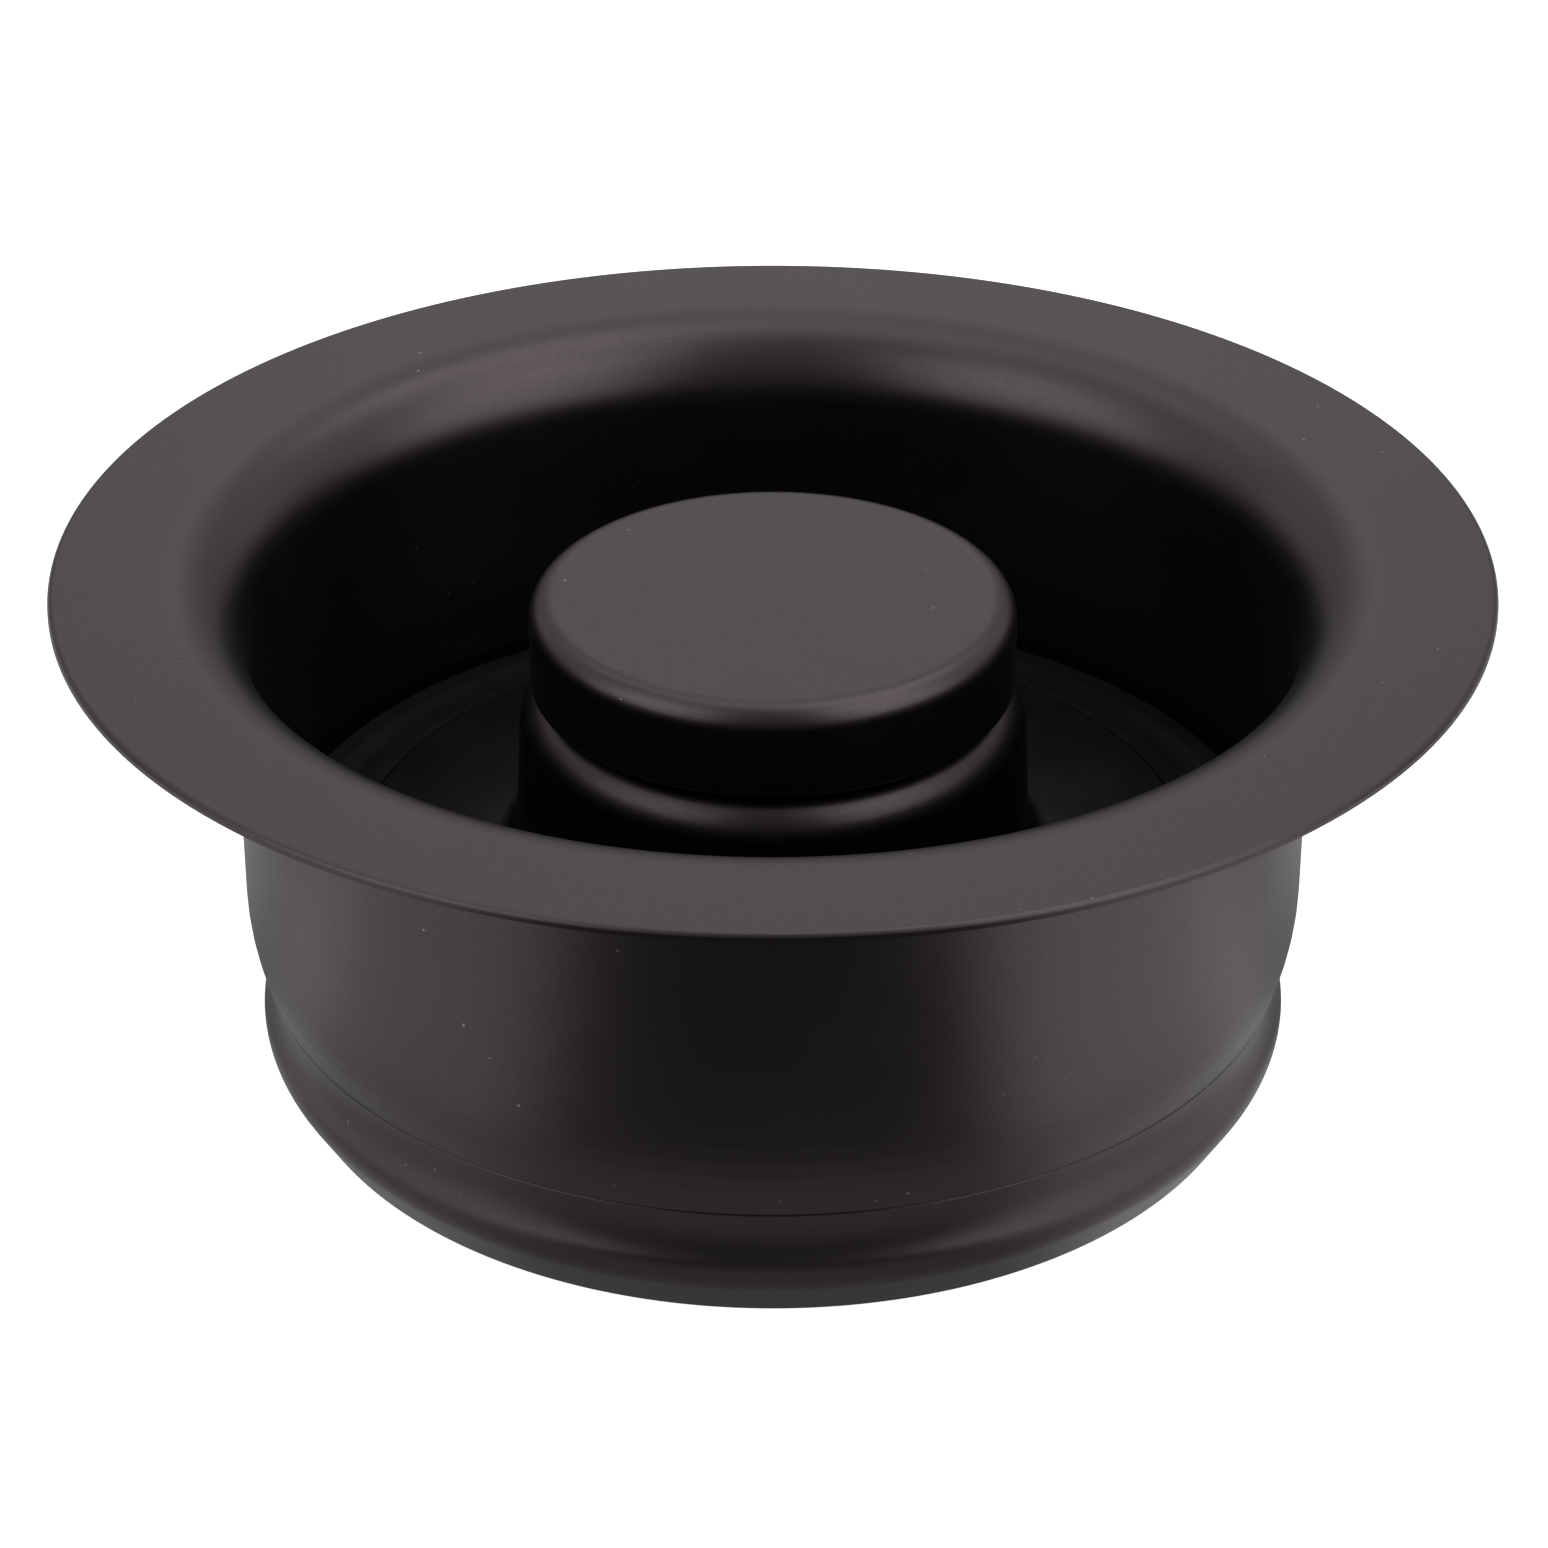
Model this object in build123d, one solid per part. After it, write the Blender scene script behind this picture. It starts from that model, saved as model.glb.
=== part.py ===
from build123d import *
import os
from math import cos, radians, sin

# A sink flange for a waste disposal, with the stopper that closes it.
# Millimetres. The origin is at the centre of the foot's plane and +Z points up, out of the sink.
# Every piece but the screw's recess and the lock washer's slit is a solid of revolution about Z.

# ---- Sink flange: one sheet, drawn and rolled ----
HEIGHT = 44.45
BRIM_R = 57.15
BRIM_EDGE_R = 0.45
SHEET = 1.1
THROAT_R = 42.0
BRIM_BEND_R = 6.5          # on the face that is seen from above
ROLL_IN_TOP_Z = 16.95      # below this the wall curves in towards the waist
ROLL_IN_R = 20.0
ROLL_IN_TILT = 20.0        # degrees from upright, where the waist groove begins
WAIST_R = 5.5              # radius of the hollow groove for the snap ring
WAIST_TILT = 24.0
BEAD_UPPER_R = 2.5
BEAD_LOWER_R = 3.8
FOOT_TILT = 31.0
FOOT_EDGE_R = 0.3
CREASE_WIDTH = 0.3         # fine V-shaped line where the groove begins
CREASE_DEPTH = 0.16

# ---- Stopper, from the knob's top down ----
KNOB_TOP_BELOW_BRIM = 3.3
KNOB_R = 19.5
KNOB_HEIGHT = 7.7
KNOB_TOP_EDGE_R = 2.0
KNOB_BOTTOM_EDGE_R = 0.4

GASKET_R = 12.0
GASKET_THICKNESS = 0.5

COVER_SHEET = 1.2
HUB_SHOULDER_R = 3.5
HUB_TOP_R = 20.5           # where the shoulder ends
HUB_HEIGHT = 14.6          # from the floor's upper face to the hub's top
HUB_DRAFT = 2.7            # degrees: the hub is wider at its base
HUB_BASE_FILLET_R = 1.8
COVER_R = 34.3
COVER_EDGE_R = 0.5

SEAL_TOP_R = 41.85         # just inside the throat
SEAL_FOOT_R = 40.8         # tapers with the roll-in it drops onto
SEAL_WEB = 3.0             # clamped between the cover and the retainer
SEAL_DEPTH = 6.3           # at the rim
SEAL_RIM_INNER_R = 36.0    # the rim hangs down outside this radius
SEAL_LIP_EDGE_R = 0.7
SEAL_CHANNEL_MID_R = 37.9
SEAL_CHANNEL_WIDTH = 2.6
SEAL_CHANNEL_DEPTH = 0.35

RETAINER_R = 34.5
RETAINER_THICKNESS = 1.5
RETAINER_EDGE_R = 0.4

# ---- Fastening: one number 10 pan-head screw from below into the knob ----
SCREW_R = 2.4
SCREW_LENGTH = 28.6
SCREW_HEAD_R = 4.6
SCREW_HEAD_HEIGHT = 2.8
SCREW_HEAD_EDGE_R = 1.6
RECESS_LENGTH = 4.8
RECESS_WIDTH = 1.1
RECESS_DEPTH = 1.7
TAPPED_HOLE_R = 2.42
TAPPED_HOLE_DEPTH = 6.6
CLEARANCE_HOLE_R = 2.65
FLAT_WASHER_R = 6.3
FLAT_WASHER_THICKNESS = 1.0
LOCK_WASHER_R = 4.3
LOCK_WASHER_THICKNESS = 1.2
LOCK_WASHER_SLIT = 0.6
LOCK_WASHER_SLANT = 25.0   # degrees from upright
SLIT_CUT_HEIGHT = 3.6      # the slanted cut runs out through both faces of the washer

# ---- Levels of the stack ----
knob_top_z = HEIGHT - KNOB_TOP_BELOW_BRIM
knob_bottom_z = knob_top_z - KNOB_HEIGHT
hub_top_z = knob_bottom_z - GASKET_THICKNESS
floor_z = hub_top_z - HUB_HEIGHT
seal_top_z = floor_z - COVER_SHEET
retainer_top_z = seal_top_z - SEAL_WEB
flat_washer_top_z = retainer_top_z - RETAINER_THICKNESS
lock_washer_top_z = flat_washer_top_z - FLAT_WASHER_THICKNESS
head_top_z = lock_washer_top_z - LOCK_WASHER_THICKNESS


def outline(points):
    """Closed outline from straight runs between (radius, height) points."""
    return make_face(Polyline(*points, close=True))


def turned(face):
    """Solid of revolution of a (radius, height) face about Z."""
    return revolve(Plane.XZ * face, Axis.Z)


def ring(inner_r, outer_r, bottom_z, top_z):
    """Rectangular (radius, height) face of a plain ring."""
    return outline([(inner_r, bottom_z), (outer_r, bottom_z), (outer_r, top_z), (inner_r, top_z)])


def rounded(face, corner, radius):
    """Face with the corner nearest to a (radius, height) point rounded."""
    nearest = face.vertices().sort_by_distance(corner)[0]
    return fillet(nearest, radius)


def wall_line(depth):
    """Flange's wall, brim to foot, at a depth under its outer face: tangent lines and arcs."""
    brim = Line(
        (BRIM_R, HEIGHT - SHEET + depth),
        (THROAT_R + BRIM_BEND_R, HEIGHT - SHEET + depth),
    )
    bend = JernArc(brim @ 1, brim % 1, BRIM_BEND_R - SHEET + depth, 90)
    throat = Line(bend @ 1, (THROAT_R + SHEET - depth, ROLL_IN_TOP_Z))
    roll_in = JernArc(throat @ 1, throat % 1, ROLL_IN_R - depth, -ROLL_IN_TILT)
    waist = JernArc(roll_in @ 1, roll_in % 1, WAIST_R + depth, ROLL_IN_TILT + WAIST_TILT)
    bead = JernArc(waist @ 1, waist % 1, BEAD_UPPER_R - depth, -WAIST_TILT)
    under = JernArc(bead @ 1, bead % 1, BEAD_LOWER_R - depth, -FOOT_TILT)
    foot = Line(under @ 1, under @ 1 + (under % 1) * ((under @ 1).Y / cos(radians(FOOT_TILT))))
    return [brim, bend, throat, roll_in, waist, bead, under, foot]


def crease_face():
    """V-shaped notch across the wall where the roll-in meets the waist groove."""
    roll_in = wall_line(0)[3]
    middle = roll_in @ 1
    along = roll_in % 1
    inward = Vector(along.Y, -along.X)
    apex = middle + inward * CREASE_DEPTH
    mouth = middle - inward * CREASE_DEPTH
    return outline([apex, mouth + along * CREASE_WIDTH, mouth - along * CREASE_WIDTH])


def sink_flange():
    """Brim, throat, waist groove, bead and foot, all in one sheet."""
    under_face = wall_line(0)
    upper_face = wall_line(SHEET)
    brim_edge = Line(upper_face[0] @ 0, under_face[0] @ 0)
    foot_edge = Line(under_face[-1] @ 1, upper_face[-1] @ 1)
    face = make_face(under_face + [foot_edge] + upper_face + [brim_edge])
    face = rounded(face, brim_edge @ 0, BRIM_EDGE_R)
    face = rounded(face, brim_edge @ 1, BRIM_EDGE_R)
    face = rounded(face, foot_edge @ 0, FOOT_EDGE_R)
    face = rounded(face, foot_edge @ 1, FOOT_EDGE_R)
    return turned(face - crease_face())


def cover_line(depth):
    """Cover from the screw hole to the rim, at a depth under its upper face."""
    turn = 90 - HUB_DRAFT
    base_fillet_r = HUB_BASE_FILLET_R + depth
    base_top_z = floor_z - depth + base_fillet_r * (1 - cos(radians(turn)))
    shoulder_start_r = HUB_TOP_R - HUB_SHOULDER_R * sin(radians(turn))
    top = Line((CLEARANCE_HOLE_R, hub_top_z - depth), (shoulder_start_r, hub_top_z - depth))
    shoulder = JernArc(top @ 1, top % 1, HUB_SHOULDER_R - depth, -turn)
    wall_length = ((shoulder @ 1).Y - base_top_z) / cos(radians(HUB_DRAFT))
    wall = Line(shoulder @ 1, shoulder @ 1 + (shoulder % 1) * wall_length)
    base = JernArc(wall @ 1, wall % 1, base_fillet_r, turn)
    floor = Line(base @ 1, (COVER_R, floor_z - depth))
    return [top, shoulder, wall, base, floor]


def stopper_cover():
    """Spun metal hat: a hollow hub with a round shoulder, and a flat floor round it."""
    upper_face = cover_line(0)
    lower_face = cover_line(COVER_SHEET)
    hole_edge = Line(upper_face[0] @ 0, lower_face[0] @ 0)
    rim_edge = Line(upper_face[-1] @ 1, lower_face[-1] @ 1)
    face = make_face(upper_face + [rim_edge] + lower_face + [hole_edge])
    face = rounded(face, rim_edge @ 0, COVER_EDGE_R)
    return turned(face)


def stopper_knob():
    """Flat-topped disc that fingers grip by its side, tapped from below."""
    hole_top_z = knob_bottom_z + TAPPED_HOLE_DEPTH
    face = outline(
        [
            (TAPPED_HOLE_R, knob_bottom_z),
            (KNOB_R, knob_bottom_z),
            (KNOB_R, knob_top_z),
            (0, knob_top_z),
            (0, hole_top_z),
            (TAPPED_HOLE_R, hole_top_z),
        ]
    )
    face = rounded(face, (KNOB_R, knob_top_z), KNOB_TOP_EDGE_R)
    face = rounded(face, (KNOB_R, knob_bottom_z), KNOB_BOTTOM_EDGE_R)
    return turned(face)


def knob_gasket():
    """Flat rubber washer that seals the screw hole under the knob."""
    return turned(ring(CLEARANCE_HOLE_R, GASKET_R, hub_top_z, knob_bottom_z))


def rubber_seal():
    """Rubber disc with a deep rim, tapered to drop onto the flange's roll-in."""
    bottom_z = seal_top_z - SEAL_DEPTH
    web_bottom_z = seal_top_z - SEAL_WEB
    face = outline(
        [
            (CLEARANCE_HOLE_R, seal_top_z),
            (SEAL_TOP_R, seal_top_z),
            (SEAL_FOOT_R, bottom_z),
            (SEAL_RIM_INNER_R, bottom_z),
            (SEAL_RIM_INNER_R, web_bottom_z),
            (CLEARANCE_HOLE_R, web_bottom_z),
        ]
    )
    face = rounded(face, (SEAL_TOP_R, seal_top_z), SEAL_LIP_EDGE_R)
    face = rounded(face, (SEAL_FOOT_R, bottom_z), SEAL_LIP_EDGE_R)
    return turned(face - seal_channel_face())


def seal_channel_face():
    """Shallow round-bottomed channel in the seal's upper face, outside the cover's edge."""
    half_width = SEAL_CHANNEL_WIDTH / 2
    channel_r = (half_width**2 + SEAL_CHANNEL_DEPTH**2) / (2 * SEAL_CHANNEL_DEPTH)
    centre = (SEAL_CHANNEL_MID_R, seal_top_z - SEAL_CHANNEL_DEPTH + channel_r)
    return Pos(*centre) * Circle(channel_r)


def seal_retainer():
    """Plate that clamps the seal's web against the cover."""
    bottom_z = retainer_top_z - RETAINER_THICKNESS
    face = ring(CLEARANCE_HOLE_R, RETAINER_R, bottom_z, retainer_top_z)
    face = rounded(face, (RETAINER_R, bottom_z), RETAINER_EDGE_R)
    return turned(face)


def flat_washer():
    """Plain washer that spreads the screw's load on the retainer."""
    bottom_z = flat_washer_top_z - FLAT_WASHER_THICKNESS
    return turned(ring(CLEARANCE_HOLE_R, FLAT_WASHER_R, bottom_z, flat_washer_top_z))


def lock_washer():
    """Split spring washer, drawn flat as it is when the screw is tight."""
    body = turned(ring(CLEARANCE_HOLE_R, LOCK_WASHER_R, head_top_z, lock_washer_top_z))
    slit = Box(LOCK_WASHER_R, LOCK_WASHER_SLIT, SLIT_CUT_HEIGHT)
    middle_z = (head_top_z + lock_washer_top_z) / 2
    return body - Pos(LOCK_WASHER_R, 0, middle_z) * Rot(X=LOCK_WASHER_SLANT) * slit


def clamp_screw():
    """Pan-head screw with a cross recess, its head downwards, its threads drawn plain."""
    head_bottom_z = head_top_z - SCREW_HEAD_HEIGHT
    tip_z = head_top_z + SCREW_LENGTH
    face = outline(
        [
            (0, head_bottom_z),
            (SCREW_HEAD_R, head_bottom_z),
            (SCREW_HEAD_R, head_top_z),
            (SCREW_R, head_top_z),
            (SCREW_R, tip_z),
            (0, tip_z),
        ]
    )
    face = rounded(face, (SCREW_HEAD_R, head_bottom_z), SCREW_HEAD_EDGE_R)
    slot = Box(RECESS_LENGTH, RECESS_WIDTH, RECESS_DEPTH)
    recess = slot + Rot(Z=90) * slot
    return turned(face) - Pos(0, 0, head_bottom_z + RECESS_DEPTH / 2) * recess


pieces = {
    "sink_flange": sink_flange(),
    "stopper_cover": stopper_cover(),
    "stopper_knob": stopper_knob(),
    "knob_gasket": knob_gasket(),
    "rubber_seal": rubber_seal(),
    "seal_retainer": seal_retainer(),
    "flat_washer": flat_washer(),
    "lock_washer": lock_washer(),
    "clamp_screw": clamp_screw(),
}

os.makedirs("parts", exist_ok=True)
for name, piece in pieces.items():
    export_step(piece, f"parts/{name}.step")
    print(f"{name}: {piece.volume:.1f} mm3")
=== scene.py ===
import math

import bmesh
import bpy
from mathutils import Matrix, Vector


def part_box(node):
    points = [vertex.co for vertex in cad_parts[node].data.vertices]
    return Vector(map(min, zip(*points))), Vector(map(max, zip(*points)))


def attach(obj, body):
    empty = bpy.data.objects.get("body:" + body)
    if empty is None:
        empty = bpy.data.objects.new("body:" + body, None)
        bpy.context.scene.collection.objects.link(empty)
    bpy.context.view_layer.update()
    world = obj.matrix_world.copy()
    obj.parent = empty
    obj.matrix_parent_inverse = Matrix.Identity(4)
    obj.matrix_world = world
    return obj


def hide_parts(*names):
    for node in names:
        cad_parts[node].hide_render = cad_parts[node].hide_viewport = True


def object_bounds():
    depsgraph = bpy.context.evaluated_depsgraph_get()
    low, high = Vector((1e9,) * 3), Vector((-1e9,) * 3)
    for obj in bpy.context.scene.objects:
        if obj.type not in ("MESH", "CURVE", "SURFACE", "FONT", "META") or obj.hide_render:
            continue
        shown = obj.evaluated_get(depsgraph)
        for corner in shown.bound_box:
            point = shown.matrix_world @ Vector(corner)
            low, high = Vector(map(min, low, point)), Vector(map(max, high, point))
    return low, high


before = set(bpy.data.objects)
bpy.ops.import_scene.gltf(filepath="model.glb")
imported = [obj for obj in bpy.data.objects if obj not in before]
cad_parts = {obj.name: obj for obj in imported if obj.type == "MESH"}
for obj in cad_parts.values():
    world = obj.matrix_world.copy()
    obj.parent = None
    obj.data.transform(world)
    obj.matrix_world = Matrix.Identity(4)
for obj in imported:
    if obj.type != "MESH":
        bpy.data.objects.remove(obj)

cad_low, cad_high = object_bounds()

MM = 0.001

# ---- Sink flange: the CAD source's driving sizes, in millimetres ----
HEIGHT = 44.45
BRIM_R = 57.15
BRIM_EDGE_R = 0.45
SHEET = 1.1
THROAT_R = 42.0
BRIM_BEND_R = 6.5
ROLL_IN_TOP_Z = 16.95
ROLL_IN_R = 20.0
ROLL_IN_TILT = 20.0
WAIST_R = 5.5
WAIST_TILT = 24.0
BEAD_UPPER_R = 2.5
BEAD_LOWER_R = 3.8
FOOT_TILT = 31.0
FOOT_EDGE_R = 0.3
CREASE_HALF_WIDTH = 0.15
CREASE_DEPTH = 0.16
CREASE_Z = ROLL_IN_TOP_Z - ROLL_IN_R * math.sin(math.radians(ROLL_IN_TILT))

# ---- Stopper ----
KNOB_R = 19.5
KNOB_TOP_EDGE_R = 2.0
KNOB_BOTTOM_EDGE_R = 0.4
TAPPED_HOLE_R = 2.42
TAPPED_HOLE_DEPTH = 6.6
COVER_SHEET = 1.2
HUB_SHOULDER_R = 3.5
HUB_TOP_R = 20.5
HUB_HEIGHT = 14.6
HUB_DRAFT = 2.7
HUB_BASE_FILLET_R = 1.8
COVER_R = 34.3
COVER_EDGE_R = 0.5
CLEARANCE_HOLE_R = 2.65
GASKET_R = 12.0
SEAL_TOP_R = 41.85
SEAL_FOOT_R = 40.8
SEAL_WEB = 3.0
SEAL_RIM_INNER_R = 36.0
SEAL_LIP_EDGE_R = 0.7
SEAL_CHANNEL_MID_R = 37.9
SEAL_CHANNEL_DEPTH = 0.35
RETAINER_R = 34.5
RETAINER_EDGE_R = 0.4
FLAT_WASHER_R = 6.3
LOCK_WASHER_R = 4.3
LOCK_WASHER_SLIT = 0.6
LOCK_WASHER_SLANT = 25.0
SCREW_R = 2.4
SCREW_HEAD_R = 4.6
SCREW_HEAD_HEIGHT = 2.8
SCREW_HEAD_EDGE_R = 1.6

# ---- Details that only the looks have, in millimetres ----
SEAL_BEAD_SPACING = 4.0    # from the bead inside the channel to the one outside it
SEAL_RIBS = 3              # moulded round the rim's side
SEAL_RIB_DEPTH = 0.14
SMALL_EDGE_R = 0.2         # broken edges of the small parts
WELL_SHADE_RISE = 22.0     # how far the painted shade on the cover's floor fades up the hub
THREAD_PITCH = 1.06        # number 10, 24 threads to the inch
THREAD_DEPTH = 0.42
THREAD_RUNOUT = 1.5        # bare shank under the head, and the tip's taper
THREAD_ROWS = 8            # rows of the mesh in one turn of the thread
RECESS_LENGTH = 4.8
RECESS_WIDTH = 1.1
RECESS_DEPTH = 1.7
RECESS_TAPER = 0.72        # the recess's size at its floor, as a share of its mouth
GASKET_BULGE = 0.45        # radius of the gasket's edge, as a share of its thickness

# ---- Mesh density ----
SEGMENTS = 288             # round the wide pieces
SMALL_SEGMENTS = 120       # round the washers and the screw
ARC_STEP = 4.0             # degrees of arc between two points of an outline
SUPPORT = 0.12             # mm: edge loops beside each round keep the flats flat
LONG_RUN = 8 * SUPPORT     # mm: a straight run longer than this gets those edge loops
CHANNEL_STEPS = 24         # across the seal's channel
RIB_STEPS = 16             # down each of the seal's ribs
SHARP_ANGLE = 38           # degrees between two faces that are shaded as an edge
RECESS_SHARP_ANGLE = 30


def levels(node):
    """Heights in millimetres of a CAD node's bottom and top."""
    low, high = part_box(node)
    return low.z / MM, high.z / MM


# ================= Outlines: (radius, height) in millimetres =================
class Path:
    """A line of tangent straights and arcs, drawn with a heading in degrees."""

    def __init__(self, r, z, heading):
        self.points = [(r, z)]
        self.heading = heading

    def forward(self, length):
        r, z = self.points[-1]
        angle = math.radians(self.heading)
        self.points.append((r + length * math.cos(angle), z + length * math.sin(angle)))

    def arc(self, radius, turn):
        """A positive turn is to the left."""
        steps = max(2, math.ceil(abs(turn) / ARC_STEP))
        step = turn / steps
        chord = 2 * radius * math.sin(math.radians(abs(step)) / 2)
        for _ in range(steps):
            self.heading += step / 2
            self.forward(chord)
            self.heading += step / 2


def corner_arc(before, corner, after, radius):
    """Points of the arc that rounds a corner between two straight runs."""
    here = Vector(corner)
    back = (Vector(before) - here).normalized()
    on = (Vector(after) - here).normalized()
    half = back.angle(on) / 2
    centre = here + (back + on).normalized() * (radius / math.sin(half))
    start = here + back * (radius / math.tan(half)) - centre
    turn = math.copysign(math.pi - 2 * half, start.x * on.y - start.y * on.x)
    steps = max(2, math.ceil(math.degrees(abs(turn)) / ARC_STEP))
    points = []
    for i in range(steps + 1):
        angle = turn * i / steps
        c, s = math.cos(angle), math.sin(angle)
        points.append((centre.x + start.x * c - start.y * s, centre.y + start.x * s + start.y * c))
    return points


def section(corners):
    """Closed outline from (r, z) points; an (r, z, radius) point is a corner that gets rounded."""
    points = []
    for i, corner in enumerate(corners):
        if len(corner) == 2:
            points.append(corner)
            continue
        before = corners[i - 1][:2]
        after = corners[(i + 1) % len(corners)][:2]
        points += corner_arc(before, corner[:2], after, corner[2])
    return supported(points)


def supported(points):
    """The outline with a point added just inside both ends of every long run."""
    result = []
    for here, after in zip(points, points[1:] + points[:1]):
        result.append(here)
        run = Vector(after) - Vector(here)
        if run.length > LONG_RUN:
            inset = run.normalized() * SUPPORT
            result.append(tuple(Vector(here) + inset))
            result.append(tuple(Vector(after) - inset))
    return result


def with_corners(points, first_radius, last_radius):
    """A run of points whose two ends are marked as corners to round."""
    return [(*points[0], first_radius), *points[1:-1], (*points[-1], last_radius)]


# ================= Meshes =================
def piece(name, verts, faces, body, material, stands_for):
    """Object from millimetre vertices; it rides on a body and stands for a CAD node."""
    mesh = bpy.data.meshes.new(name)
    mesh.from_pydata([Vector(v) * MM for v in verts], [], faces)
    shell = bmesh.new()
    shell.from_mesh(mesh)
    bmesh.ops.recalc_face_normals(shell, faces=shell.faces)
    shell.to_mesh(mesh)
    shell.free()
    mesh.shade_smooth()
    mesh.set_sharp_from_angle(angle=math.radians(SHARP_ANGLE))
    mesh.materials.append(material)
    obj = bpy.data.objects.new(name, mesh)
    bpy.context.scene.collection.objects.link(obj)
    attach(obj, body)
    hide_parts(stands_for)
    return obj


def turned(points, segments=SEGMENTS):
    """Vertices and faces of a closed (radius, height) outline turned about Z."""
    verts = []
    rings = []
    for r, z in points:
        if r < 1e-6:
            rings.append([len(verts)] * segments)
            verts.append((0, 0, z))
            continue
        rings.append(range(len(verts), len(verts) + segments))
        for i in range(segments):
            angle = 2 * math.pi * i / segments
            verts.append((r * math.cos(angle), r * math.sin(angle), z))
    faces = []
    for lower, upper in zip(rings, rings[1:] + rings[:1]):
        for i in range(segments):
            j = (i + 1) % segments
            around = [lower[i], lower[j], upper[j], upper[i]]
            corners = list(dict.fromkeys(around))
            if len(corners) > 2:
                faces.append(corners)
    return verts, faces


# ================= Sink flange =================
def wall_points(depth):
    """The flange's wall from brim to foot, at a depth under its outer face."""
    path = Path(BRIM_R, HEIGHT - SHEET + depth, 180)
    path.forward(BRIM_R - THROAT_R - BRIM_BEND_R)
    path.arc(BRIM_BEND_R - SHEET + depth, 90)
    path.forward(path.points[-1][1] - ROLL_IN_TOP_Z)
    path.arc(ROLL_IN_R - depth, -ROLL_IN_TILT)
    crease_at = len(path.points) - 1
    path.arc(WAIST_R + depth, ROLL_IN_TILT + WAIST_TILT)
    path.arc(BEAD_UPPER_R - depth, -WAIST_TILT)
    path.arc(BEAD_LOWER_R - depth, -FOOT_TILT)
    path.forward(path.points[-1][1] / math.cos(math.radians(FOOT_TILT)))
    return path.points, crease_at


def sink_flange(material):
    under, crease_at = wall_points(0)
    upper, _ = wall_points(SHEET)
    under[crease_at:crease_at + 1] = crease(under[crease_at])
    outline = section(
        with_corners(under, BRIM_EDGE_R, FOOT_EDGE_R)
        + with_corners(upper, BRIM_EDGE_R, FOOT_EDGE_R)[::-1]
    )
    verts, faces = turned(outline)
    return piece("flange", verts, faces, "flange", material, "sink_flange")


def crease(middle):
    """Fine V-shaped line across the wall, where its heading is the roll-in's last one."""
    heading = math.radians(270 - ROLL_IN_TILT)
    along = Vector((math.cos(heading), math.sin(heading)))
    inward = Vector((along.y, -along.x))
    here = Vector(middle)
    mouth = along * CREASE_HALF_WIDTH
    return [tuple(here - mouth), tuple(here + inward * CREASE_DEPTH), tuple(here + mouth)]


# ================= Stopper =================
def cover_points(depth):
    """The cover from its screw hole to its rim, at a depth under its upper face."""
    turn = 90 - HUB_DRAFT
    _, hub_top_z = levels("stopper_cover")
    base_r = HUB_BASE_FILLET_R + depth
    floor_z = hub_top_z - HUB_HEIGHT - depth
    base_top_z = floor_z + base_r * (1 - math.cos(math.radians(turn)))
    path = Path(CLEARANCE_HOLE_R, hub_top_z - depth, 0)
    path.forward(HUB_TOP_R - HUB_SHOULDER_R * math.sin(math.radians(turn)) - CLEARANCE_HOLE_R)
    path.arc(HUB_SHOULDER_R - depth, -turn)
    path.forward((path.points[-1][1] - base_top_z) / math.cos(math.radians(HUB_DRAFT)))
    path.arc(base_r, turn)
    path.forward(COVER_R - path.points[-1][0])
    return path.points


def stopper_cover(material):
    upper = cover_points(0)
    lower = cover_points(COVER_SHEET)
    outline = section(
        with_corners(upper, SMALL_EDGE_R, COVER_EDGE_R)
        + with_corners(lower, SMALL_EDGE_R, SMALL_EDGE_R)[::-1]
    )
    verts, faces = turned(outline)
    return piece("cover", verts, faces, "stopper", material, "stopper_cover")


def stopper_knob(material):
    bottom, top = levels("stopper_knob")
    hole_top = bottom + TAPPED_HOLE_DEPTH
    outline = section(
        [
            (TAPPED_HOLE_R, bottom, SMALL_EDGE_R),
            (KNOB_R, bottom, KNOB_BOTTOM_EDGE_R),
            (KNOB_R, top, KNOB_TOP_EDGE_R),
            (0, top),
            (0, hole_top),
            (TAPPED_HOLE_R, hole_top),
        ]
    )
    verts, faces = turned(outline)
    return piece("knob", verts, faces, "stopper", material, "stopper_knob")


def knob_gasket(material):
    """Thin rubber washer, squeezed so that its edge bulges."""
    bottom, top = levels("knob_gasket")
    edge_r = GASKET_BULGE * (top - bottom)
    outline = section(
        [
            (CLEARANCE_HOLE_R, bottom),
            (GASKET_R, bottom, edge_r),
            (GASKET_R, top, edge_r),
            (CLEARANCE_HOLE_R, top),
        ]
    )
    verts, faces = turned(outline)
    return piece("gasket", verts, faces, "stopper", material, "knob_gasket")


def rubber_seal(material):
    """Moulded disc: two beads with a channel between them on top, and ribs round its rim."""
    bottom, top = levels("rubber_seal")
    web = top - SEAL_WEB
    outline = section(
        [(CLEARANCE_HOLE_R, top, SMALL_EDGE_R)]
        + seal_channel(top)
        + [(SEAL_TOP_R, top, SEAL_LIP_EDGE_R)]
        + seal_ribs(top - SEAL_LIP_EDGE_R, bottom + SEAL_LIP_EDGE_R, top, bottom)
        + [
            (SEAL_FOOT_R, bottom, SEAL_LIP_EDGE_R),
            (SEAL_RIM_INNER_R, bottom, 2 * SMALL_EDGE_R),
            (SEAL_RIM_INNER_R, web, SEAL_LIP_EDGE_R),
            (CLEARANCE_HOLE_R, web, SMALL_EDGE_R),
        ]
    )
    verts, faces = turned(outline)
    return piece("seal", verts, faces, "stopper", material, "rubber_seal")


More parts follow.
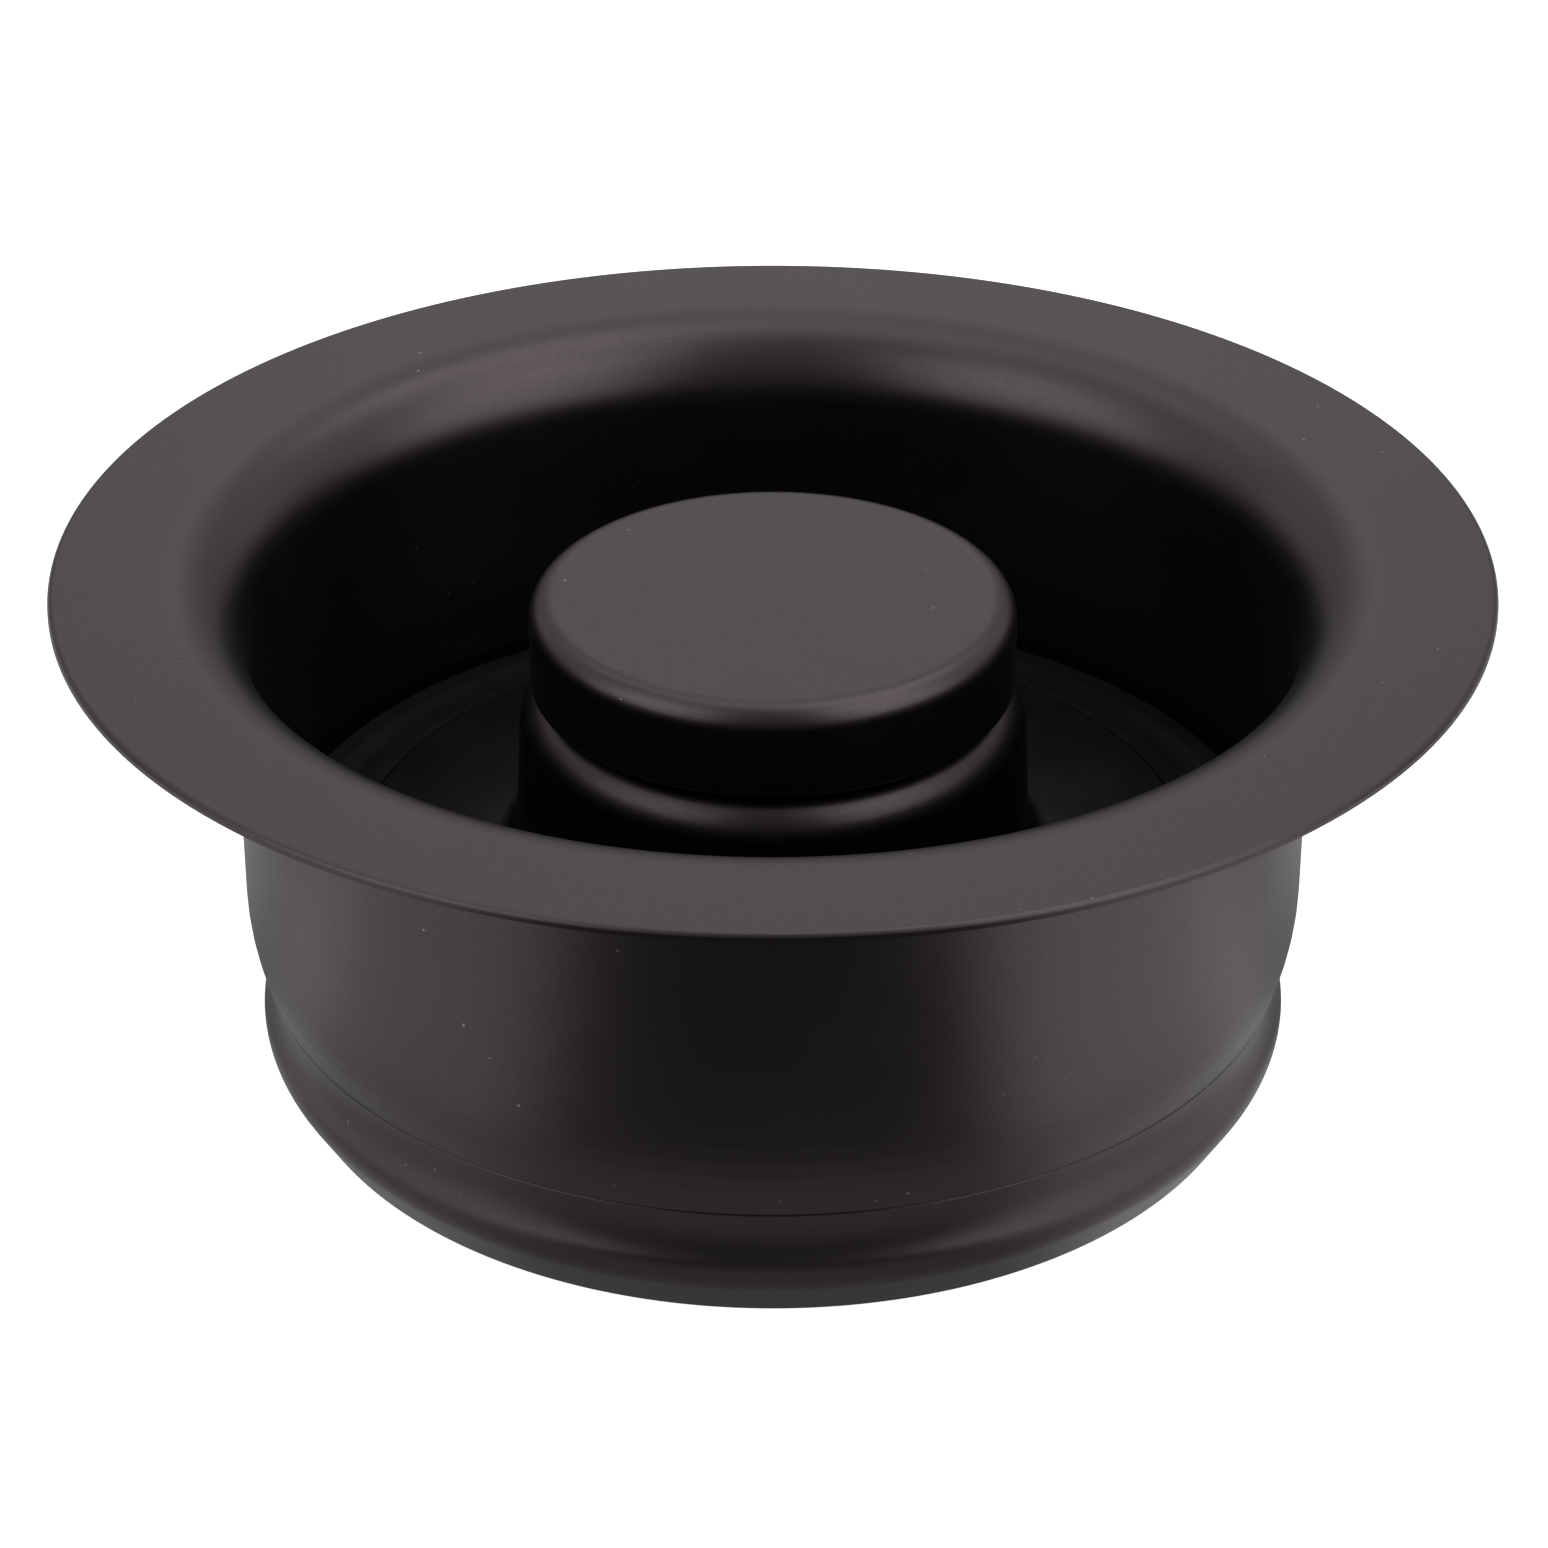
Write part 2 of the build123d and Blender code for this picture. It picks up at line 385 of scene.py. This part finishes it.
def seal_channel(top):
    """Wave in the seal's upper face: bead, channel, bead."""
    points = []
    for i in range(CHANNEL_STEPS + 1):
        share = i / CHANNEL_STEPS
        dip = (1 - math.cos(2 * math.pi * share)) / 2
        r = SEAL_CHANNEL_MID_R + (share - 0.5) * SEAL_BEAD_SPACING
        points.append((r, top - SEAL_CHANNEL_DEPTH * dip))
    return points


def seal_ribs(first_z, last_z, top, bottom):
    """Shallow waves down the side of the rim, between its two rounded corners."""
    points = []
    steps = RIB_STEPS * SEAL_RIBS
    for i in range(1, steps):
        share = i / steps
        z = first_z + (last_z - first_z) * share
        r = SEAL_TOP_R + (SEAL_FOOT_R - SEAL_TOP_R) * (top - z) / (top - bottom)
        dip = (1 - math.cos(2 * math.pi * share * SEAL_RIBS)) / 2
        points.append((r - SEAL_RIB_DEPTH * dip, z))
    return points


def ring_outline(node, outer_r, lower_edge_r=SMALL_EDGE_R):
    """Outline of a flat ring round the screw, as high as its node, with broken edges."""
    bottom, top = levels(node)
    return section(
        [
            (CLEARANCE_HOLE_R, bottom, SMALL_EDGE_R),
            (outer_r, bottom, lower_edge_r),
            (outer_r, top, SMALL_EDGE_R),
            (CLEARANCE_HOLE_R, top, SMALL_EDGE_R),
        ]
    )


def seal_retainer(material):
    verts, faces = turned(ring_outline("seal_retainer", RETAINER_R, RETAINER_EDGE_R))
    return piece("retainer", verts, faces, "stopper", material, "seal_retainer")


def flat_washer(material):
    verts, faces = turned(ring_outline("flat_washer", FLAT_WASHER_R), SMALL_SEGMENTS)
    return piece("washer", verts, faces, "stopper", material, "flat_washer")


def lock_washer(material):
    """Split spring washer: a bar swept round the screw between two slanted ends."""
    outline = ring_outline("lock_washer", LOCK_WASHER_R)
    middle_z = sum(levels("lock_washer")) / 2
    verts = []
    for i in range(SMALL_SEGMENTS + 1):
        share = i / SMALL_SEGMENTS
        for r, z in outline:
            gap = LOCK_WASHER_SLIT / 2 / r
            slant = (middle_z - z) * math.tan(math.radians(LOCK_WASHER_SLANT)) / r
            angle = slant + gap + share * (2 * math.pi - 2 * gap)
            verts.append((r * math.cos(angle), r * math.sin(angle), z))
    n = len(outline)
    faces = [list(range(n)), list(range(n * SMALL_SEGMENTS, n * (SMALL_SEGMENTS + 1)))]
    for i in range(SMALL_SEGMENTS):
        for k in range(n):
            after = (k + 1) % n
            faces.append([i * n + k, i * n + after, (i + 1) * n + after, (i + 1) * n + k])
    return piece(
        "spring_washer", verts, faces, "stopper", material, "lock_washer"
    )


def clamp_screw(material):
    """Pan-head screw, head downwards, with a helical thread and a cross recess."""
    bottom, tip = levels("clamp_screw")
    head_top = bottom + SCREW_HEAD_HEIGHT
    rows = round((tip - head_top) / THREAD_PITCH * THREAD_ROWS)
    shank = [(SCREW_R, head_top + (tip - head_top) * i / rows) for i in range(rows + 1)]
    outline = section(
        [(0, bottom), (SCREW_HEAD_R, bottom, SCREW_HEAD_EDGE_R)]
        + [(SCREW_HEAD_R, head_top, SMALL_EDGE_R)]
        + shank
        + [(0, tip)]
    )
    verts, faces = turned(outline, SMALL_SEGMENTS)
    verts = [threaded(v, head_top, tip) for v in verts]
    obj = piece("screw", verts, faces, "stopper", material, "clamp_screw")
    cut(obj, cross_recess(bottom))
    return obj


def threaded(vert, head_top, tip):
    """The vertex moved in to the thread's V, if it lies on the shank."""
    x, y, z = vert
    r = math.hypot(x, y)
    if z <= head_top or z > tip or r < SCREW_R - SMALL_EDGE_R or r > SCREW_R + SMALL_EDGE_R:
        return vert
    turn = (z / THREAD_PITCH - math.atan2(y, x) / (2 * math.pi)) % 1
    runout = min(1, (z - head_top) / THREAD_RUNOUT)
    taper = max(0, 1 - (tip - z) / THREAD_RUNOUT)
    depth = THREAD_DEPTH * (runout * (1 - abs(2 * turn - 1)) + taper)
    share = 1 - min(depth, 2 * THREAD_DEPTH) / r
    return x * share, y * share, z


def cross_recess(mouth_z):
    """Cutter for the recess: two crossed bars that narrow towards their floor."""
    cutter = bmesh.new()
    for quarter in (0, math.pi / 2):
        bar = bmesh.ops.create_cube(cutter, size=1)["verts"]
        for v in bar:
            share = RECESS_TAPER if v.co.z > 0 else 1
            x = v.co.x * RECESS_LENGTH * share
            y = v.co.y * RECESS_WIDTH * share
            z = mouth_z + (RECESS_DEPTH if v.co.z > 0 else -SMALL_EDGE_R)
            c, s = math.cos(quarter), math.sin(quarter)
            v.co = Vector((x * c - y * s, x * s + y * c, z)) * MM
    mesh = bpy.data.meshes.new("recess_cutter")
    cutter.to_mesh(mesh)
    cutter.free()
    obj = bpy.data.objects.new("recess_cutter", mesh)
    bpy.context.scene.collection.objects.link(obj)
    return obj


def cut(obj, cutter):
    """Takes the cutter's shape out of the object's mesh, for good."""
    boolean = obj.modifiers.new("cut", "BOOLEAN")
    boolean.object = cutter
    boolean.operation = "DIFFERENCE"
    boolean.solver = "EXACT"
    boolean.use_self = True
    depsgraph = bpy.context.evaluated_depsgraph_get()
    mesh = bpy.data.meshes.new_from_object(obj.evaluated_get(depsgraph))
    obj.modifiers.clear()
    obj.data = mesh
    mesh.set_sharp_from_angle(angle=math.radians(RECESS_SHARP_ANGLE))
    bpy.data.objects.remove(cutter)


# ================= Materials =================
COAT = (0.099, 0.082, 0.0845, 1)
COAT_BLOTCH = (0.109, 0.091, 0.094, 1)
COAT_GRAIN = (0.075, 0.064, 0.066, 1)
COAT_SPECK = (0.45, 0.42, 0.42, 1)
# Painted shade: the colour that darkens the fine crease line across the flange's wall.
CREASE_PAINTED_SHADE = (0.02, 0.017, 0.02, 1)
# Painted shade for the cover's floor and the foot of its hub.
WELL_PAINTED_SHADE = (0.018, 0.015, 0.017, 1)
RUBBER = (0.008, 0.007, 0.008, 1)
RUBBER_BLOOM = (0.013, 0.0115, 0.013, 1)
STEEL = (0.56, 0.55, 0.53, 1)
STEEL_STAIN = (0.46, 0.45, 0.44, 1)


class Nodes:
    """Short names for making and linking the nodes of one tree."""

    def __init__(self, tree):
        self.tree = tree

    def node(self, kind, **settings):
        made = self.tree.nodes.new(kind)
        for name, value in settings.items():
            setattr(made, name, value)
        return made

    def feed(self, socket, value):
        """Links an output to a socket, or sets the socket's own number or colour."""
        if isinstance(value, bpy.types.NodeSocket):
            self.tree.links.new(value, socket)
        else:
            socket.default_value = value

    def math(self, operation, a, b=0.0, c=0.0):
        node = self.node("ShaderNodeMath", operation=operation)
        for socket, value in zip(node.inputs, (a, b, c)):
            self.feed(socket, value)
        return node.outputs[0]

    def between(self, value, low, high, to_low=0.0, to_high=1.0, kind="LINEAR"):
        """Maps low..high to to_low..to_high, and holds outside them."""
        node = self.node("ShaderNodeMapRange", interpolation_type=kind)
        for socket, number in zip(node.inputs[:5], (value, low, high, to_low, to_high)):
            self.feed(socket, number)
        return node.outputs["Result"]

    def split(self, vector):
        """The x, y and z of a vector."""
        node = self.node("ShaderNodeSeparateXYZ")
        self.feed(node.inputs[0], vector)
        return node.outputs["X"], node.outputs["Y"], node.outputs["Z"]

    def out_from_axis(self, x, y):
        """Distance from the Z axis."""
        squares = self.math("ADD", self.math("MULTIPLY", x, x), self.math("MULTIPLY", y, y))
        return self.math("SQRT", squares)


class Shader(Nodes):
    """A Principled material whose colour, roughness and bump come from nodes."""

    def __init__(self, name, **constants):
        self.material = bpy.data.materials.new(name)
        self.material.use_nodes = True
        super().__init__(self.material.node_tree)
        self.surface = self.tree.nodes["Principled BSDF"]
        for socket, value in constants.items():
            self.surface.inputs[socket.replace("_", " ")].default_value = value
        self.place = self.node("ShaderNodeTexCoord").outputs["Object"]

    def round_and_up(self, radian):
        """Metres round the axis (a radian is made that long), out from it and up it."""
        x, y, z = self.split(self.place)
        joined = self.node("ShaderNodeCombineXYZ")
        self.feed(joined.inputs["X"], self.math("MULTIPLY", self.math("ARCTAN2", y, x), radian))
        self.feed(joined.inputs["Y"], self.out_from_axis(x, y))
        self.feed(joined.inputs["Z"], z)
        return joined.outputs[0]

    def band(self, z, half_width):
        """1 at a height in millimetres, fading to 0 either side of it."""
        _, _, height = self.split(self.place)
        off = self.math("ABSOLUTE", self.math("SUBTRACT", height, z * MM))
        return self.between(off, half_width * MM, 0.0)

    def noise(self, grain, detail=2.0, place=None, rough=0.5):
        """Noise from 0 to 1 with a grain about that many millimetres across."""
        noise = self.node("ShaderNodeTexNoise")
        self.feed(noise.inputs["Vector"], place or self.place)
        noise.inputs["Scale"].default_value = 1 / (grain * MM)
        noise.inputs["Detail"].default_value = detail
        noise.inputs["Roughness"].default_value = rough
        return noise.outputs["Fac"]

    def mix(self, factor, a, b):
        """Colour from a to b. The node's sockets are found by what they are for RGBA."""
        node = self.node("ShaderNodeMix", data_type="RGBA")
        sockets = {socket.identifier: socket for socket in node.inputs}
        self.feed(sockets["Factor_Float"], factor)
        self.feed(sockets["A_Color"], a)
        self.feed(sockets["B_Color"], b)
        return next(socket for socket in node.outputs if socket.identifier == "Result_Color")

    def specks(self, spacing, size, share):
        """1 on small specks: one cell in so many carries one, up to that size in mm."""
        cells = self.node("ShaderNodeTexVoronoi", feature="F1")
        self.feed(cells.inputs["Vector"], self.place)
        cells.inputs["Scale"].default_value = 1 / (spacing * MM)
        parts = self.node("ShaderNodeSeparateColor")
        self.feed(parts.inputs[0], cells.outputs["Color"])
        chosen = self.math("LESS_THAN", parts.outputs["Red"], share)
        reach = self.between(parts.outputs["Green"], 0, 1, 0.3, 1)
        reach = self.math("MULTIPLY", reach, size / 2 / spacing)
        near = self.math("LESS_THAN", cells.outputs["Distance"], reach)
        return self.math("MULTIPLY", chosen, near)

    def bump(self, height, distance, normal=None):
        """Relief of so many millimetres."""
        node = self.node("ShaderNodeBump")
        node.inputs["Distance"].default_value = distance * MM
        self.feed(node.inputs["Height"], height)
        if normal:
            self.feed(node.inputs["Normal"], normal)
        return node.outputs["Normal"]

    def finish(self, colour, roughness, normal):
        self.feed(self.surface.inputs["Base Color"], colour)
        self.feed(self.surface.inputs["Roughness"], roughness)
        self.feed(self.surface.inputs["Normal"], normal)
        return self.material


def bronze(name, well_shade=None):
    """Satin dark bronze coat: mottled grain, slow changes of tone and pale specks.

    The second argument puts painted shade on the cover's floor: the height where it is darkest,
    and how far up the hub it fades. The crease gets a painted shade line too.
    """
    s = Shader(name, Metallic=1.0)
    grain = s.noise(0.35, 3.0)
    blotches = s.noise(9.0, 2.0)
    specks = s.specks(2.4, 0.3, 0.4)
    colour = s.mix(blotches, COAT, COAT_BLOTCH)
    colour = s.mix(s.between(grain, 0.3, 0.7, 0, 0.25), colour, COAT_GRAIN)
    colour = s.mix(s.math("MULTIPLY", specks, 0.55), colour, COAT_SPECK)
    # Painted shade along the crease: a band as wide as the V-groove is darkened.
    colour = s.mix(s.band(CREASE_Z, CREASE_HALF_WIDTH), colour, CREASE_PAINTED_SHADE)
    # Painted shade in the stopper's well: darkest at the cover's floor, fading up the hub, patchy.
    if well_shade:
        cover = s.math("MULTIPLY", s.band(*well_shade), s.between(s.noise(7.0, 3.0), 0.2, 0.6, 0.7, 0.9))
        colour = s.mix(cover, colour, WELL_PAINTED_SHADE)
    roughness = s.between(blotches, 0.25, 0.75, 0.33, 0.37)
    roughness = s.math("ADD", roughness, s.between(grain, 0.3, 0.7, -0.02, 0.02))
    relief = s.bump(grain, 0.004)
    relief = s.bump(s.noise(0.12, 2.0), 0.0015, relief)
    return s.finish(colour, roughness, relief)


def rubber():
    """Moulded black rubber: matt, with a fine pebble, a dusty bloom and mould rings."""
    s = Shader("moulded_rubber", Specular_IOR_Level=0.15, Sheen_Weight=0.02, Sheen_Roughness=0.5)
    pebble = s.noise(0.3, 3.0)
    bloom = s.noise(5.0, 3.0)
    rings = s.noise(0.5, 1.0, s.round_and_up(0.002))
    colour = s.mix(s.between(bloom, 0.35, 0.7), RUBBER, RUBBER_BLOOM)
    roughness = s.between(pebble, 0.3, 0.7, 0.5, 0.62)
    relief = s.bump(pebble, 0.012)
    relief = s.bump(rings, 0.01, relief)
    return s.finish(colour, roughness, relief)


def steel():
    """Stainless steel, turned: fine lines round the axis and a few water stains."""
    s = Shader("turned_steel", Metallic=1.0, Anisotropic=0.5)
    lines = s.noise(0.12, 2.0, s.round_and_up(0.0015))
    stains = s.noise(4.0, 3.0)
    colour = s.mix(s.between(stains, 0.4, 0.65), STEEL, STEEL_STAIN)
    roughness = s.between(lines, 0.3, 0.7, 0.24, 0.36)
    return s.finish(colour, roughness, s.bump(lines, 0.004))


# ================= Studio =================
CAMERA_PLACE = (0.00009, -0.3367, 0.21767)   # metres, in the object's frame
CAMERA_AIM = (0.00009, 0, 0.02445)
CAMERA_LENS = 110.84       # mm, on a sensor this wide:
CAMERA_SENSOR = 36
GROUND_HALF = 3.0          # metres: half the side of the floor

# What the metal sees is made of soft-edged patches of light. Azimuth 0 is the camera's side and
# 90 is +X. Each patch: middle azimuth, half its width, where it begins and ends, radiance.
# The places and widths were chosen. The radiances come from a least-squares fit to the
# photograph's tones, rounded, and six of them were then changed.
PATCH_FADE = 22.0          # degrees or millimetres over which a patch's edge fades

# Begins and ends at an elevation in degrees.
SKY = {
    "backdrop": (180, 40, 18, 45, 0.4),
    "backdrop_middle": (180, 14, 18, 45, 0.45),
    "backdrop_foot": (180, 55, -20, 18, 0.3),
    "backdrop_top": (180, 55, 45, 66, 0.75),
    "overhead": (180, 115, 66, 120, 0.9),
    "overhead_front": (0, 65, 66, 120, 0.2),
    "overhead_right": (90, 60, 50, 80, 0.8),
    "overhead_left": (-90, 60, 50, 80, 0.2),
    "box_right": (60, 28, 12, 58, 1.25),
    "box_left": (-60, 28, 12, 58, 1.2),
    "box_right_foot": (60, 28, -20, 12, 0.7),
    "box_left_foot": (-60, 28, -20, 12, 0.6),
    "wall_right": (115, 27, 12, 58, 0.5),
    "wall_left": (-115, 27, 12, 58, 0.45),
    "wall_right_foot": (115, 27, -20, 12, 0.15),
    "wall_left_foot": (-115, 27, -20, 12, 0.12),
    "camera_side_top": (0, 32, 45, 66, 0.1),
    "camera_side": (0, 32, 15, 45, 0.14),
    "camera_side_foot": (0, 32, -20, 15, 0.05),
}

# Begins and ends at a distance from the axis in millimetres.
TABLE = {
    "shade": (180, 100, -20, 60, 0.25),
    "shade_right": (60, 25, -20, 60, 0.55),
    "shade_left": (-60, 25, -20, 60, 0.4),
    "shade_front": (0, 35, -20, 60, 0.25),
    "near": (180, 100, 60, 150, 0.55),
    "near_right": (60, 25, 60, 150, 0.85),
    "near_left": (-60, 25, 60, 150, 0.65),
    "near_front": (0, 35, 60, 150, 0.08),
    "far": (180, 100, 150, 4000, 0.7),
    "far_right": (60, 25, 150, 4000, 0.65),
    "far_left": (-60, 25, 150, 4000, 0.6),
}


def patches(nodes, azimuth, reach, lights):
    """Radiance at an azimuth and a reach, which is an elevation or a distance."""
    total = 0.0
    half_fade = PATCH_FADE / 2
    for middle, half_width, first, last, radiance in lights.values():
        turn = nodes.math("WRAP", nodes.math("SUBTRACT", azimuth, middle), 180.0, -180.0)
        off = nodes.math("ABSOLUTE", turn)
        edges = (
            (off, half_width + half_fade, half_width - half_fade),
            (reach, first - half_fade, first + half_fade),
            (reach, last + half_fade, last - half_fade),
        )
        glow = radiance
        for value, dark, bright in edges:
            share = nodes.between(value, dark, bright, kind="SMOOTHSTEP")
            glow = nodes.math("MULTIPLY", glow, share)
        total = nodes.math("ADD", total, glow)
    return total


def azimuth_of(nodes, x, y):
    """Azimuth in degrees of a direction or a place."""
    turn = nodes.math("ARCTAN2", x, nodes.math("MULTIPLY", y, -1.0))
    return nodes.math("DEGREES", turn)


def floor():
    """Pale floor that the camera sees, and that the metal doesn't."""
    material = bpy.data.materials.new("pale_floor")
    material.use_nodes = True
    surface = material.node_tree.nodes["Principled BSDF"]
    surface.inputs["Base Color"].default_value = (0.8, 0.8, 0.8, 1)
    surface.inputs["Roughness"].default_value = 1.0
    surface.inputs["Emission Color"].default_value = (1, 1, 1, 1)
    surface.inputs["Emission Strength"].default_value = 0.9
    flat_sheet("floor", material).visible_glossy = False


def flat_sheet(name, material):
    """Square sheet under the object."""
    half = GROUND_HALF
    z = cad_low.z
    mesh = bpy.data.meshes.new(name)
    mesh.from_pydata(
        [(-half, -half, z), (half, -half, z), (half, half, z), (-half, half, z)], [], [range(4)]
    )
    mesh.materials.append(material)
    obj = bpy.data.objects.new(name, mesh)
    bpy.context.scene.collection.objects.link(obj)
    return obj


def table():
    """What the metal sees of the floor: the object's own shade, and light further out."""
    material = bpy.data.materials.new("table_seen_in_metal")
    material.use_nodes = True
    nodes = Nodes(material.node_tree)
    nodes.tree.nodes.clear()
    x, y, _ = nodes.split(nodes.node("ShaderNodeTexCoord").outputs["Object"])
    out = nodes.math("DIVIDE", nodes.out_from_axis(x, y), MM)
    glow = nodes.node("ShaderNodeEmission")
    nodes.feed(glow.inputs["Strength"], patches(nodes, azimuth_of(nodes, x, y), out, TABLE))
    output = nodes.node("ShaderNodeOutputMaterial")
    nodes.feed(output.inputs["Surface"], glow.outputs[0])
    obj = flat_sheet("table_card", material)
    obj.visible_camera = False
    obj.visible_diffuse = False
    obj.visible_shadow = False


def sky():
    """White to the camera, and patches of light to everything else."""
    world = bpy.data.worlds.new("studio")
    world.use_nodes = True
    nodes = Nodes(world.node_tree)
    nodes.tree.nodes.clear()
    x, y, z = nodes.split(nodes.node("ShaderNodeTexCoord").outputs["Generated"])
    elevation = nodes.math("DEGREES", nodes.math("ARCSINE", z))
    glow = patches(nodes, azimuth_of(nodes, x, y), elevation, SKY)
    seen = nodes.node("ShaderNodeLightPath").outputs["Is Camera Ray"]
    background = nodes.node("ShaderNodeBackground")
    nodes.feed(background.inputs["Color"], (1, 1, 1, 1))
    nodes.feed(background.inputs["Strength"], nodes.between(seen, 0.0, 1.0, glow, 1.0))
    output = nodes.node("ShaderNodeOutputWorld")
    nodes.feed(output.inputs["Surface"], background.outputs[0])
    bpy.context.scene.world = world


def camera():
    """At the photograph's angle, about 30 degrees above the brim's plane."""
    data = bpy.data.cameras.new("camera")
    data.sensor_width = CAMERA_SENSOR
    data.lens = CAMERA_LENS
    obj = bpy.data.objects.new("camera", data)
    obj.location = CAMERA_PLACE
    obj.rotation_euler = (Vector(CAMERA_AIM) - obj.location).to_track_quat("-Z", "Y").to_euler()
    bpy.context.scene.collection.objects.link(obj)
    bpy.context.scene.camera = obj


# ================= The scene =================
camera()
bronze_coat = bronze("dark_bronze_coat")
cover_floor_z = levels("stopper_cover")[1] - HUB_HEIGHT
# The cover's coat carries painted shade, darkest at its floor and fading up the hub.
well_shaded_coat = bronze("dark_bronze_coat_with_painted_shade", (cover_floor_z, WELL_SHADE_RISE))
black_rubber = rubber()
turned_steel = steel()

sink_flange(bronze_coat)
stopper_cover(well_shaded_coat)
stopper_knob(bronze_coat)
knob_gasket(black_rubber)
rubber_seal(black_rubber)
seal_retainer(turned_steel)
flat_washer(turned_steel)
lock_washer(turned_steel)
clamp_screw(turned_steel)

floor()
table()
sky()
bpy.context.scene.view_settings.view_transform = "Standard"
